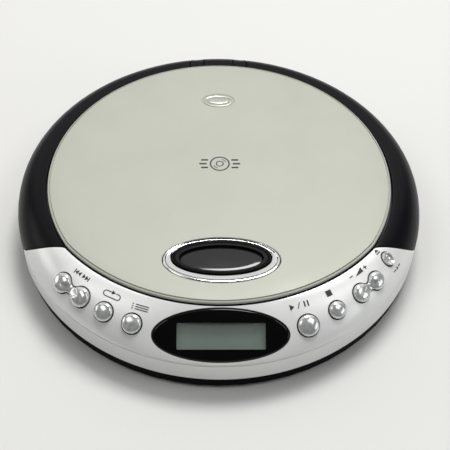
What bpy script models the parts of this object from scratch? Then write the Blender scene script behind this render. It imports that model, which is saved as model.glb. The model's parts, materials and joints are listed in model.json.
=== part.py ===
"""Portable CD player: a round, low case with a hinged lid, a display, seven keys,
the disc drive and its battery box.

Helper functions take millimetres and work in metres.
Bearings are degrees from the front (-Y), positive towards +X.
"""

import math

import bmesh
import bpy
from mathutils import Matrix, Vector

MM = 0.001
COIL_STEPS = 10

# Case
RIM_RADIUS = 75.85
RIM_HEIGHT = 15.4
WALL_BOTTOM = 6.55
COLLAR_RADIUS = 64.27
COLLAR_HEIGHT = 26.45
FRONT_ARC_RADIUS = 70.83
FRONT_ARC_Y = 11.09
SKIN_THICKNESS = 1.7
SKIN_STEPS = 6
GRIP_EXPONENT = 1.7
REAR_EXPONENT = 2.15
FASCIA_EXPONENT = 1.12
JUNCTION_TOP = 57.5
JUNCTION_SWEEP = 12.4
JUNCTION_GAP = 0.12
BASE_BOTTOM = 1.2
FLOOR_TOP = 2.8
BASE_TOP = 6.25
BOSS_RADIUS = 68.5
BOSS_BEARINGS = (-140, -72, 72, 140)
FOOT_XY = 42

# Lid
LID_RADIUS = 63.55
LID_ARC_RADIUS = 70.13
LID_BOTTOM = 26.1
LID_TOP = 27.7
LINER_INSET = 1.5
LINER_BOTTOM = 25.0
LINER_TOP = 25.8
HINGE_Y = 67.5
HINGE_Z = 20.5
ARM_X = 9
ARM_WIDTH = 5.4
HOOK_BEARING = 56.6
WINDOW = (0.4, -40.9, 20.3, 9.9)
WINDOW_INNER = (0.4, -39.3, 17.4, 7.4)
WINDOW_GLASS = (0.4, -39.5, 14.4, 5.4)

# Disc well and drive
SPINDLE_Y = 2.2
WELL_RADIUS = 60.7
WELL_WALL = 1.2
WELL_FLOOR = 19.0
WELL_UNDERSIDE = 17.7
WELL_TOP = 24.2
LEDGE_BOTTOM = 23.2
LEDGE_REACH = 0.65
TURNTABLE_RADIUS = 15
CHASSIS_Z = 8.2
SLED_Y = -22
ROD_X = 17
ROD_Z = 13.4
GEAR_MODULE = 0.5
GEAR_TEETH = 24
PINION_TEETH = 10
RACK_LINE_X = 21.5
GEAR_Y = -26
GEAR_Z = (10.2, 11.6)

# Battery box
CELL_BOX = (-28.5, 28.5, 26.0, 56.9)
DOOR_HINGE_Y = 55.4
DOOR_HINGE_Z = 2.1

# Keys: bearing, place down the slope (0 at the collar, 1 at the rim), cap radius
KEYS = {
    "repeat_button": (-33.7, 0.52, 3.25),
    "program_button": (-25.05, 0.52, 3.35),
    "play_button": (24.6, 0.54, 3.65),
    "stop_button": (34.0, 0.50, 3.0),
}
ROCKERS = {
    "skip_rocker": (-45.45, 0.505, 4.42, 3.5),
    "volume_rocker": (46.05, 0.47, 3.85, 3.2),
}
OPEN_KEY = (57.0, 0.36, 2.4)
KEY_GAP = 0.3
KEY_DEPTH = 5.4

# Display
DISPLAY_CENTRE = (0, -67.85, 21.3)
DISPLAY_SLOPE = 33.5
DISPLAY_HALF = (22.9, 8.9)


def material(name, colour, roughness, metallic=0.0, alpha=1.0):
    made = bpy.data.materials.new(name)
    made.use_nodes = True
    shader = made.node_tree.nodes["Principled BSDF"]
    shader.inputs["Base Color"].default_value = (*colour, 1)
    shader.inputs["Roughness"].default_value = roughness
    shader.inputs["Metallic"].default_value = metallic
    shader.inputs["Alpha"].default_value = alpha
    return made


def add(name, mesh, look):
    made = bpy.data.objects.new(name, mesh)
    made.data.materials.append(look)
    player.objects.link(made)
    return made


def plate(name, outline, low, high, look):
    """A flat face in XY made solid between two heights."""
    mesh = bpy.data.meshes.new(name)
    pairs = zip(outline, outline[1:] + outline[:1])
    if sum(a[0] * b[1] - a[1] * b[0] for a, b in pairs) < 0:
        outline = outline[::-1]
    points = [(x * MM, y * MM, low * MM) for x, y in outline]
    mesh.from_pydata(points, [], [range(len(points))])
    made = add(name, mesh, look)
    solid = made.modifiers.new("thickness", "SOLIDIFY")
    solid.thickness = (high - low) * MM
    solid.offset = 1
    return made


def side_plate(name, outline, low, high, look):
    """A plate whose outline is given in Y and Z, solid between two X."""
    made = plate(name, outline, low, high, look)
    made.matrix_world = Matrix(((0, 0, 1, 0), (1, 0, 0, 0), (0, 1, 0, 0), (0, 0, 0, 1)))
    return made


def lathe(name, profile, look, centre=(0, 0), steps=48, closed=False):
    """A profile of radii and heights, run down its outer side, turned about Z."""
    mesh = bpy.data.meshes.new(name)
    count = len(profile)
    edges = [(i, i + 1) for i in range(count - 1)]
    if closed:
        edges.append((count - 1, 0))
    mesh.from_pydata([(r * MM, 0, z * MM) for r, z in profile], edges, [])
    made = add(name, mesh, look)
    made.location = (centre[0] * MM, centre[1] * MM, 0)
    turn = made.modifiers.new("turn", "SCREW")
    turn.steps = steps
    turn.render_steps = steps
    turn.use_merge_vertices = True
    turn.merge_threshold = 0.00001
    return made


def cylinder(name, radius, low, high, look, centre=(0, 0), steps=20):
    return lathe(name, [(0, high), (radius, high), (radius, low), (0, low)], look, centre, steps)


def box(name, low, high, look):
    mesh = bpy.data.meshes.new(name)
    shape = bmesh.new()
    size = [(high[i] - low[i]) * MM for i in range(3)]
    middle = [(high[i] + low[i]) / 2 * MM for i in range(3)]
    place = Matrix.Translation(middle) @ Matrix.Diagonal((*size, 1))
    bmesh.ops.create_cube(shape, size=1, matrix=place)
    shape.to_mesh(mesh)
    shape.free()
    return add(name, mesh, look)


def ellipse(shape, grow=0.0, steps=40):
    x, y, half_x, half_y = shape
    turns = [2 * math.pi * i / steps for i in range(steps)]
    return [(x + (half_x + grow) * math.cos(t), y + (half_y + grow) * math.sin(t)) for t in turns]


def helix(name, radius, wire, low, high, turns, look):
    """An open coil about Z."""
    curve = bpy.data.curves.new(name, "CURVE")
    curve.dimensions = "3D"
    curve.bevel_depth = wire * MM
    curve.bevel_resolution = 0
    curve.use_fill_caps = True
    count = turns * COIL_STEPS
    line = curve.splines.new("POLY")
    line.points.add(count)
    for i in range(count + 1):
        t = 2 * math.pi * i / COIL_STEPS
        z = low + (high - low) * i / count
        line.points[i].co = (radius * MM * math.cos(t), radius * MM * math.sin(t), z * MM, 1)
    return add(name, curve, look)


def loft(name, columns, look):
    """Skins a row of closed sections whose two halves face each other, and caps both ends."""
    mesh = bpy.data.meshes.new(name)
    shape = bmesh.new()
    rows = [[shape.verts.new(point * MM) for point in column] for column in columns]
    count = len(columns[0])
    for first, second in zip(rows, rows[1:]):
        for i in range(count):
            j = (i + 1) % count
            shape.faces.new((first[i], first[j], second[j], second[i]))
    for row in (rows[0], rows[-1]):
        for i in range(count // 2 - 1):
            shape.faces.new((row[i], row[i + 1], row[count - 2 - i], row[count - 1 - i]))
    bmesh.ops.recalc_face_normals(shape, faces=shape.faces)
    shape.to_mesh(mesh)
    shape.free()
    return add(name, mesh, look)


def boolean(target, tool, operation):
    """Adds a Boolean to the target and puts its tool away."""
    change = target.modifiers.new(tool.name, "BOOLEAN")
    change.operation = operation
    change.solver = "EXACT"
    change.object = tool
    if tool.name in player.objects:
        player.objects.unlink(tool)
        cutters.objects.link(tool)
        tool.hide_render = True
        tool.display_type = "WIRE"


def cut(target, tool):
    boolean(target, tool, "DIFFERENCE")


def join(target, tool):
    boolean(target, tool, "UNION")


def arc_edge(bearing, radius):
    """Distance from the centre to the front arc, along a bearing."""
    along = -math.cos(math.radians(bearing)) * FRONT_ARC_Y
    return along + math.sqrt(along * along - FRONT_ARC_Y**2 + radius**2)


def collar_edge(bearing):
    return min(COLLAR_RADIUS, arc_edge(bearing, FRONT_ARC_RADIUS))


def lid_edge(bearing):
    return min(LID_RADIUS, arc_edge(bearing, LID_ARC_RADIUS))


def outline(edge, grow=0.0, step=5):
    points = []
    for bearing in range(0, 360, step):
        turned = bearing if bearing <= 180 else bearing - 360
        radius = edge(turned) + grow
        angle = math.radians(bearing)
        points.append((radius * math.sin(angle), -radius * math.cos(angle)))
    return points


def eased(value, start, end):
    share = min(max((value - start) / (end - start), 0), 1)
    return share * share * (3 - 2 * share)


def fullness(bearing):
    """How square the section of the sloping surface is: slack in front, fullest behind."""
    turned = abs((bearing + 180) % 360 - 180)
    front = (GRIP_EXPONENT - FASCIA_EXPONENT) * eased(turned, 8, 57)
    rear = (REAR_EXPONENT - GRIP_EXPONENT) * eased(turned, 62, 105)
    return FASCIA_EXPONENT + front + rear


def skin(bearing, slope):
    """Radius and height of the case's sloping surface."""
    power = 2 / fullness(bearing)
    turn = slope * math.pi / 2
    inner = collar_edge(bearing)
    radius = inner + (RIM_RADIUS - inner) * math.sin(turn) ** power
    height = RIM_HEIGHT + (COLLAR_HEIGHT - RIM_HEIGHT) * max(math.cos(turn), 0) ** power
    return radius, height


def point_at(bearing, radius, height):
    angle = math.radians(bearing)
    return Vector((radius * math.sin(angle), -radius * math.cos(angle), height))


def skin_point(bearing, slope):
    radius, height = skin(bearing, slope)
    return point_at(bearing, radius, height)


def inward(bearing, slope, depth):
    radius, height = skin(bearing, slope)
    turn = slope * math.pi / 2
    return point_at(bearing, radius - depth * math.sin(turn), height - depth * math.cos(turn))


def shell_column(bearing_at, depth, bottom):
    slopes = [i / SKIN_STEPS for i in range(SKIN_STEPS + 1)]
    outer = [skin_point(bearing_at(s), s) for s in slopes]
    inner = [inward(bearing_at(s), s, depth) for s in slopes]
    rim = bearing_at(1)
    foot = [point_at(rim, RIM_RADIUS, bottom), point_at(rim, RIM_RADIUS - depth, bottom)]
    return outer + foot + inner[::-1]


def junction(slope):
    return JUNCTION_TOP + JUNCTION_SWEEP * slope


def shell(name, start, end, steps, depth, look):
    """A stretch of the case's skin between two bearings that vary down the slope."""
    columns = []
    for i in range(steps + 1):
        share = i / steps
        columns.append(
            shell_column(lambda s: start(s) + (end(s) - start(s)) * share, depth, WALL_BOTTOM)
        )
    return loft(name, columns, look)


def core(name, start, end, steps):
    """The space under the middle of the skin, which trims posts to its underside."""
    columns = []
    for i in range(steps + 1):
        bearing = start + (end - start) * i / steps
        under = [inward(bearing, s / 8, SKIN_THICKNESS / 2) for s in range(9)]
        base = [point_at(bearing, RIM_RADIUS - 1 - (RIM_RADIUS - 61) * s / 8, 0) for s in range(9)]
        columns.append(under + base)
    return loft(name, columns, black)


def skin_frame(bearing, slope):
    """X round the case, Y up the slope, Z out of the skin."""
    origin = skin_point(bearing, slope)
    across = (skin_point(bearing + 0.5, slope) - skin_point(bearing - 0.5, slope)).normalized()
    up = skin_point(bearing, slope - 0.02) - skin_point(bearing, slope + 0.02)
    out = across.cross(up).normalized()
    up = out.cross(across)
    place = Matrix((across, up, out)).transposed().to_4x4()
    place.translation = origin * MM
    return place


def wall_frame(bearing, height):
    """X round the case, Y up, Z out of its upright wall."""
    angle = math.radians(bearing)
    across = Vector((math.cos(angle), math.sin(angle), 0))
    out = Vector((math.sin(angle), -math.cos(angle), 0))
    place = Matrix((across, Vector((0, 0, 1)), out)).transposed().to_4x4()
    place.translation = point_at(bearing, RIM_RADIUS, height) * MM
    return place


def display_frame():
    place = Matrix.Rotation(math.radians(DISPLAY_SLOPE), 4, "X")
    place.translation = Vector(DISPLAY_CENTRE) * MM
    return place


def put(made, place):
    made.matrix_world = place
    return made


def make_feet():
    for x in (-FOOT_XY, FOOT_XY):
        for y in (-FOOT_XY, FOOT_XY):
            side = ("left" if x < 0 else "right") + ("_front" if y < 0 else "_rear")
            profile = [(0, 1.7), (4.5, 1.7), (4.5, 0.4), (4.0, 0), (0, 0)]
            lathe("foot_" + side, profile, rubber, (x, y), 20)


def make_lower_case():
    profile = [
        (0, FLOOR_TOP),
        (72.3, FLOOR_TOP),
        (72.3, 9.4),
        (73.5, 9.4),
        (73.5, BASE_TOP),
        (75.5, BASE_TOP),
        (75.3, 2.0),
        (74.5, BASE_BOTTOM),
        (0, BASE_BOTTOM),
    ]
    case = lathe("lower_case", profile, black, steps=60)
    x0, x1, y0, y1 = CELL_BOX
    walls = box("cell_walls", (x0 - 1.2, y0 - 1.2, 2.0), (x1 + 1.2, y1 + 1.2, 17.3), black)
    cut(walls, box("cell_space", (x0, y0, 0), (x1, y1, 20), black))
    join(case, walls)
    for side in (-1, 1):
        ends = sorted((side * 27.5, side * 29.2))
        join(case, box(f"door_pivot_{side}", (ends[0], 53.6, 2.0), (ends[1], 57.4, 4.3), black))
    for bearing in BOSS_BEARINGS:
        x, y, _ = point_at(bearing, BOSS_RADIUS, 0)
        join(case, cylinder(f"base_boss_{bearing}", 3.3, 2.0, 7.3, black, (x, y), 24))
    for bearing in BOSS_BEARINGS:
        x, y, _ = point_at(bearing, BOSS_RADIUS, 0)
        profile = [(0, 9), (1.3, 9), (1.3, 4.0), (2.7, 4.0), (2.7, 0), (0, 0)]
        cut(case, lathe(f"screw_way_{bearing}", profile, black, (x, y), 20))
    for x in (-FOOT_XY, FOOT_XY):
        for y in (-FOOT_XY, FOOT_XY):
            cut(case, cylinder(f"foot_recess_{x}_{y}", 4.8, 0, 2.0, black, (x, y), 20))
    cut(case, box("door_way", (-27.5, 27.0, 0), (27.5, 56.6, 3.4), black))
    hole = cylinder("door_pivot_way", 0.65, -28.4, 28.4, black, steps=12)
    place = Matrix.Translation((0, DOOR_HINGE_Y * MM, DOOR_HINGE_Z * MM))
    cut(case, put(hole, place @ Matrix.Rotation(math.pi / 2, 4, "Y")))
    return case


def make_battery_door():
    place = Matrix.Translation((0, DOOR_HINGE_Y * MM, DOOR_HINGE_Z * MM))
    door = box("battery_door", (-27.2, -28.1, -0.8), (27.2, 0, 0.4), black)
    put(door, place)
    across = Matrix.Rotation(math.pi / 2, 4, "Y")
    join(door, put(cylinder("door_roll", 0.9, -26, 26, black, steps=16), place @ across))
    join(door, put(cylinder("door_pins", 0.45, -28.1, 28.1, black, steps=12), place @ across))
    grip = cylinder("door_grip", 6, -0.3, 0.3, black)
    cut(door, put(grip, place @ Matrix.Translation((0, -24 * MM, -0.8 * MM))))


def make_battery_contacts():
    x0, x1, _, _ = CELL_BOX
    for name, x, side, y in (
        ("battery_spring_front", x0, 1, 34.2),
        ("battery_spring_rear", x1, -1, 48.7),
    ):
        coil = helix(name, 2.6, 0.35, 0.8, 2.7, 3, steel)
        turn = Matrix.Rotation(side * math.pi / 2, 4, "Y")
        put(coil, Matrix.Translation((x * MM, y * MM, 10.1 * MM)) @ turn)
    box("battery_contact_left", (x0 + 0.3, 44.6, 6.5), (x0 + 0.8, 52.8, 13.7), steel)
    box("battery_contact_right", (x1 - 0.8, 30.0, 6.5), (x1 - 0.3, 38.4, 13.7), steel)


def make_screws():
    names = ("rear_left", "front_left", "front_right", "rear_right")
    for name, bearing in zip(names, BOSS_BEARINGS):
        x, y, _ = point_at(bearing, BOSS_RADIUS, 0)
        profile = [(0, 13.5), (1.0, 13.5), (1.0, 3.8), (2.3, 3.8), (2.3, 2.4), (0, 2.4)]
        screw = lathe("case_screw_" + name, profile, steel, (x, y), 16)
        for turn in (0, 90):
            slot = box(f"drive_{name}_{turn}", (-1.5, -0.25, 0), (1.5, 0.25, 3.0), steel)
            place = Matrix.Translation((x * MM, y * MM, 0))
            cut(screw, put(slot, place @ Matrix.Rotation(math.radians(turn), 4, "Z")))


def arm_outline():
    """The hinge arm's side: a root under the lid, a top along the case's skin, and a barrel."""
    top = [(65.0, 0.5), (67.0, 0.5), (69.0, 0.5), (70.4, 0.5), (71.2, 1.0)]
    line = [(56.5, 25.15), (56.5, 25.7), (63.2, 25.7)]
    for y, drop in top:
        low, high = 0.0, 1.0
        for _ in range(30):
            middle = (low + high) / 2
            if skin(180, middle)[0] < y:
                low = middle
            else:
                high = middle
        line.append((y, skin(180, low)[1] - drop))
    line += [(72.0, 20.4), (70.4, 19.2)]
    for i in range(9):
        angle = math.radians(-30 - 20 * i)
        line.append((HINGE_Y + 2.2 * math.cos(angle), HINGE_Z + 2.2 * math.sin(angle)))
    line += [(64.9, 22.4), (64.9, 25.15)]
    return line


def make_lid():
    cover = plate("lid_cover", outline(lid_edge), LID_BOTTOM, LID_TOP, silver)
    edge = cover.modifiers.new("edge", "BEVEL")
    edge.width = 0.6 * MM
    edge.segments = 2
    edge.limit_method = "ANGLE"
    cut(cover, plate("window_way", ellipse(WINDOW, 0.3), 20, 30, silver))

    liner = plate("lid_liner", outline(lid_edge, -LINER_INSET), LINER_BOTTOM, LINER_TOP, black)
    join(liner, plate("window_frame", ellipse(WINDOW_INNER, -0.3), 25.3, 27.0, black))
    for side in (-1, 1):
        x = side * ARM_X
        low, high = x - ARM_WIDTH / 2, x + ARM_WIDTH / 2
        join(liner, side_plate(f"arm_{side}", arm_outline(), low, high, black))
    bore = cylinder("arm_bore", 1.0, -20, 20, black, steps=16)
    place = Matrix.Translation((0, HINGE_Y * MM, HINGE_Z * MM))
    cut(liner, put(bore, place @ Matrix.Rotation(math.pi / 2, 4, "Y")))
    cut(liner, plate("glass_way", ellipse(WINDOW_GLASS, 0.3), 20, 30, black))
    hang = hook_frame(62.6)
    join(liner, put(box("hook_root", (-1.5, -0.4, 25.15), (1.5, 2.5, 25.7), black), hang))
    join(liner, put(box("hook", (-1.4, -0.5, 20.6), (1.4, 0.5, 25.6), black), hang))

    bezel = plate("window_bezel", ellipse(WINDOW), 26.2, 27.6, chrome)
    cut(bezel, plate("bezel_way", ellipse(WINDOW_INNER), 20, 30, chrome))
    rim = bezel.modifiers.new("rim", "BEVEL")
    rim.width = 0.35 * MM
    rim.limit_method = "ANGLE"
    plate("window_lens", ellipse(WINDOW_GLASS), 25.1, 26.2, smoke)


def hook_frame(radius):
    """At the lid's latching corner, -Y outward."""
    place = Matrix.Translation(point_at(HOOK_BEARING, radius, 0) * MM)
    return place @ Matrix.Rotation(math.radians(HOOK_BEARING), 4, "Z")


def make_hinge():
    across = Matrix.Rotation(math.pi / 2, 4, "Y")
    place = Matrix.Translation((0, HINGE_Y * MM, HINGE_Z * MM)) @ across
    put(cylinder("hinge_pin", 0.8, -13.8, 13.8, steel, steps=16), place)
    put(helix("lid_spring", 1.5, 0.3, -3.4, 3.4, 6, steel), place)


def make_disc_well():
    outer = WELL_RADIUS + WELL_WALL
    profile = [
        (16.4, WELL_FLOOR),
        (WELL_RADIUS, WELL_FLOOR),
        (WELL_RADIUS, WELL_TOP),
        (outer, WELL_TOP),
        (outer, WELL_UNDERSIDE),
        (16.4, WELL_UNDERSIDE),
    ]
    well = lathe("disc_well", profile, dark, (0, SPINDLE_Y), 60, closed=True)
    ledge = outline(collar_edge, LEDGE_REACH)
    join(well, plate("ledge", ledge, LEDGE_BOTTOM, WELL_TOP - 0.05, dark))
    for x in (-13.0, -5.1, 5.1, 13.0):
        join(well, box(f"ear_{x}", (x - 0.5, 62.3, 18.4), (x + 0.5, 69.0, 22.0), dark))
    across = Matrix.Rotation(math.pi / 2, 4, "Y")
    place = Matrix.Translation((0, HINGE_Y * MM, HINGE_Z * MM)) @ across
    cut(well, put(cylinder("ear_way", 0.95, -20, 20, dark, steps=16), place))
    for side in (-1, 1):
        x = side * ARM_X
        cut(well, box(f"arm_way_{side}", (x - 3.1, 64.2, 18), (x + 3.1, 75, 30), dark))
    cut(well, cylinder("disc_space", WELL_RADIUS, WELL_FLOOR, 30, dark, (0, SPINDLE_Y), 60))
    cut(well, box("laser_slot", (-7.5, -57.2, 15), (7.5, -8, 21), dark))
    slot = box("hook_way", (-2.2, -1.6, 17), (2.2, 1.3, 30), dark)
    cut(well, put(slot, hook_frame(62.6)))


def key_hole(target, name, place, radius, stretch=1.0):
    hole = cylinder(name, radius + KEY_GAP, -4, 6, black, steps=18)
    cut(target, put(hole, place @ Matrix.Diagonal((1, stretch, 1, 1))))


def rocker_holes(target, name):
    bearing, slope, arm, radius = ROCKERS[name]
    place = skin_frame(bearing, slope)
    for side in (-1, 1):
        lobe = place @ Matrix.Translation((side * arm * MM, 0, 0))
        key_hole(target, f"{name}_way_{side}", lobe, radius)
    cut(target, put(box(f"{name}_waist", (-arm, -1.6, -4), (arm, 1.6, 6), black), place))


def make_front_fascia():
    panel = shell(
        "front_fascia",
        lambda s: -junction(s) + JUNCTION_GAP,
        lambda s: junction(s) - JUNCTION_GAP,
        32,
        SKIN_THICKNESS,
        silver,
    )
    for name, (bearing, slope, radius) in KEYS.items():
        key_hole(panel, name + "_way", skin_frame(bearing, slope), radius)
    for name in ROCKERS:
        rocker_holes(panel, name)
    bearing, slope, radius = OPEN_KEY
    key_hole(panel, "open_way", skin_frame(bearing, slope), radius, 1.2)
    window = plate("display_way", ellipse((0, 0, *DISPLAY_HALF), 0.3), -6, 6, black)
    cut(panel, put(window, display_frame()))


def make_display():
    lens = shell("display_lens", lambda s: -24, lambda s: 24, 14, 1.3, smoke)
    shape = plate("display_shape", ellipse((0, 0, *DISPLAY_HALF)), -4, 4, black)
    boolean(lens, put(shape, display_frame()), "INTERSECT")
    panel = box("lcd_panel", (-16.0, -5.5, -4.2), (16.0, 4.4, -2.8), lcd)
    put(panel, display_frame())
    holder = box("lcd_holder", (-17.4, -6.3, -5.9), (17.4, 5.4, -2.6), black)
    cut(holder, put(box("lcd_seat", (-16.3, -5.8, -4.5), (16.3, 4.7, 0), black), display_frame()))
    put(holder, display_frame())


def make_upper_case():
    grips = shell(
        "upper_case",
        lambda s: junction(s) + JUNCTION_GAP,
        lambda s: 360 - junction(s) - JUNCTION_GAP,
        52,
        SKIN_THICKNESS,
        black,
    )
    for bearing in BOSS_BEARINGS:
        x, y, _ = point_at(bearing, BOSS_RADIUS, 0)
        boss = cylinder(f"boss_{bearing}", 2.5, 7.6, 30, black, (x, y), 20)
        boolean(boss, core(f"boss_trim_{bearing}", bearing - 4, bearing + 4, 4), "INTERSECT")
        join(grips, boss)
        cut(grips, cylinder(f"boss_way_{bearing}", 1.3, 5, 14.5, black, (x, y), 16))
    for side in (-1, 1):
        x = side * ARM_X
        cut(grips, box(f"notch_{side}", (x - 3.1, 60, 18), (x + 3.1, 72.8, 30), black))
    cut(grips, put(cylinder("phones_way", 2.7, -4, 4, black), wall_frame(-115, 12.2)))
    cut(grips, put(cylinder("power_way", 2.9, -4, 4, black), wall_frame(-127, 12.2)))
    for name, bearing in (("hold_way", 112), ("bass_way", 126)):
        cut(grips, put(box(name, (-3.6, -1.3, -4), (3.6, 1.3, 4), black), wall_frame(bearing, 12.2)))


def cap_profile(radius, dish=0.0):
    rise = [(0, 1.75 - dish), (0.45, 1.66 - dish * 0.7), (0.78, 1.32), (0.94, 0.85), (1.0, 0.3)]
    return [(share * radius, height) for share, height in rise]


def make_keys():
    for name, (bearing, slope, radius) in KEYS.items():
        wide = radius + 0.7
        profile = cap_profile(radius)
        profile += [(radius, -2.9), (wide, -2.9), (wide, -3.5)]
        profile += [(1.4, -3.5), (1.4, -KEY_DEPTH), (0, -KEY_DEPTH)]
        put(lathe(name, profile, chrome, steps=16), skin_frame(bearing, slope))
    for name, (bearing, slope, arm, radius) in ROCKERS.items():
        place = skin_frame(bearing, slope)
        rocker = put(box(name, (-arm, -1.25, -2.8), (arm, 1.25, 0.45), chrome), place)
        profile = cap_profile(radius)
        profile += [(radius, -2.6), (1.2, -2.6), (1.2, -KEY_DEPTH), (0, -KEY_DEPTH)]
        for side in (-1, 1):
            lobe = lathe(f"{name}_lobe_{side}", profile, chrome, steps=16)
            join(rocker, put(lobe, place @ Matrix.Translation((side * arm * MM, 0, 0))))
        pivot = cylinder(name + "_pivot", 0.8, -2.6, 2.6, chrome, steps=12)
        turn = Matrix.Translation((0, 0, -3.1 * MM)) @ Matrix.Rotation(math.pi / 2, 4, "X")
        join(rocker, put(pivot, place @ turn))
    bearing, slope, radius = OPEN_KEY
    wide = radius + 0.5
    profile = [(0, 0.5), (radius * 0.55, 0.7), (radius * 0.85, 1.1), (radius, 0.6)]
    profile += [(radius, -2.5), (wide, -2.5), (wide, -3.1), (1.1, -3.1), (1.1, -4.2), (0, -4.2)]
    place = skin_frame(bearing, slope) @ Matrix.Diagonal((1, 1.2, 1, 1))
    put(lathe("open_button", profile, silver, steps=16), place)


def make_key_boards():
    """Curved boards under the keys, with a dome switch below each stem."""
    left = [("skip_rocker", -1), ("skip_rocker", 1), "repeat_button", "program_button"]
    right = ["play_button", "stop_button", ("volume_rocker", -1), ("volume_rocker", 1)]
    for name, start, end, stems in (
        ("key_board_left", -52.5, -20.5, left),
        ("key_board_right", 20.5, 52.0, right),
    ):
        columns = []
        for i in range(9):
            bearing = start + (end - start) * i / 8
            slopes = (0.34, 0.45, 0.56, 0.66)
            outer = [inward(bearing, s, 7.0) for s in slopes]
            inner = [inward(bearing, s, 8.0) for s in slopes]
            columns.append(outer + inner[::-1])
        board = loft(name, columns, board_green)
        for stem in stems:
            if isinstance(stem, tuple):
                bearing, slope, arm, _ = ROCKERS[stem[0]]
                place = skin_frame(bearing, slope) @ Matrix.Translation((stem[1] * arm * MM, 0, 0))
                label = f"{stem[0]}_{stem[1]}"
            else:
                bearing, slope, _ = KEYS[stem]
                place = skin_frame(bearing, slope)
                label = stem
            dome = cylinder(f"switch_{label}", 1.9, -7.8, -6.35, steel, steps=12)
            join(board, put(dome, place))


def make_latch():
    """The catch beside the lid's hook, worked by the open key."""
    place = hook_frame(64.9)
    put(box("latch_slider", (-3.2, -1.2, 18.6), (3.2, 1.2, 20.4), dark), place)
    beside = Matrix.Translation((-2.2 * MM, 0, 18.8 * MM)) @ Matrix.Rotation(math.pi / 2, 4, "X")
    put(helix("latch_spring", 0.8, 0.2, 2.5, 4.2, 3, steel), place @ beside)


def tooth_ring(teeth, first):
    """A spur gear's outline with slack flanks, its first tooth turned by a share of the pitch."""
    pitch_radius = GEAR_MODULE * teeth / 2
    points = []
    for i in range(teeth):
        middle = (i + first) / teeth
        for radius, share in (
            (pitch_radius - 0.62, -0.25),
            (pitch_radius + 0.38, -0.1),
            (pitch_radius + 0.38, 0.1),
            (pitch_radius - 0.62, 0.25),
        ):
            angle = 2 * math.pi * (middle + share / teeth)
            points.append((radius * math.cos(angle), radius * math.sin(angle)))
    return points


def make_sled_drive():
    gear_radius = GEAR_MODULE * GEAR_TEETH / 2
    pinion_radius = GEAR_MODULE * PINION_TEETH / 2
    gear_x = RACK_LINE_X + gear_radius
    pinion_x = gear_x + gear_radius + pinion_radius
    low, high = GEAR_Z
    gear = plate("sled_gear", tooth_ring(GEAR_TEETH, 0.5), low, high, white)
    put(gear, Matrix.Translation((gear_x * MM, GEAR_Y * MM, 0)))
    cut(gear, cylinder("gear_bore", 1.1, 5, 20, white, (gear_x, GEAR_Y), 16))
    pinion = plate("sled_pinion", tooth_ring(PINION_TEETH, 0.0), low, high, brass)
    put(pinion, Matrix.Translation((pinion_x * MM, GEAR_Y * MM, 0)))
    cut(pinion, cylinder("pinion_bore", 0.8, 5, 20, brass, (pinion_x, GEAR_Y), 12))
    profile = [(0, 11.4), (0.6, 11.4), (0.6, 7.7), (2, 7.7), (2, 7.2), (6, 7.2), (6, 3.2), (0, 3.2)]
    lathe("sled_motor", profile, steel, (pinion_x, GEAR_Y), 24)


def rack_outline():
    pitch = math.pi * GEAR_MODULE
    line = []
    first = GEAR_Y - 2 * pitch
    for i in range(22):
        middle = first + i * pitch
        for x, share in ((-0.6, -0.25), (0.4, -0.1), (0.4, 0.1), (-0.6, 0.25)):
            line.append((RACK_LINE_X + x, middle + share * pitch))
    start = line[0][1]
    end = line[-1][1]
    return line + [(RACK_LINE_X - 2.2, end), (RACK_LINE_X - 2.2, start)]


def make_pickup():
    sled = box("pickup_sled", (-14, SLED_Y - 5.5, 12.0), (14, SLED_Y + 5.5, 16.4), dark)
    for side in (-1, 1):
        ends = sorted((side * 13, side * (ROD_X + 2.4)))
        ear = box(f"sled_ear_{side}", (ends[0], SLED_Y - 5, 11.2), (ends[1], SLED_Y + 5, 15.7), dark)
        join(sled, ear)
    join(sled, plate("rack", rack_outline(), GEAR_Z[0], GEAR_Z[1], dark))
    along = Matrix.Rotation(math.pi / 2, 4, "X")
    for side in (-1, 1):
        way = cylinder(f"rod_way_{side}", 1.3, -80, 80, dark, steps=16)
        cut(sled, put(way, Matrix.Translation((side * ROD_X * MM, 0, ROD_Z * MM)) @ along))
    cut(sled, cylinder("lens_well", 4.4, 14.2, 20, dark, (0, SLED_Y), 24))
    profile = [(0, 18.4), (1.6, 18.2), (2.4, 17.6), (2.4, 17.2), (3.9, 17.2), (3.9, 14.6), (0, 14.6)]
    lathe("objective_lens", profile, smoke, (0, SLED_Y), 20)
    for side, name in ((-1, "guide_rod_left"), (1, "guide_rod_right")):
        rod = cylinder(name, 1.0, 11.0, 61.4, steel, steps=16)
        put(rod, Matrix.Translation((side * ROD_X * MM, 0, ROD_Z * MM)) @ along)


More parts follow.
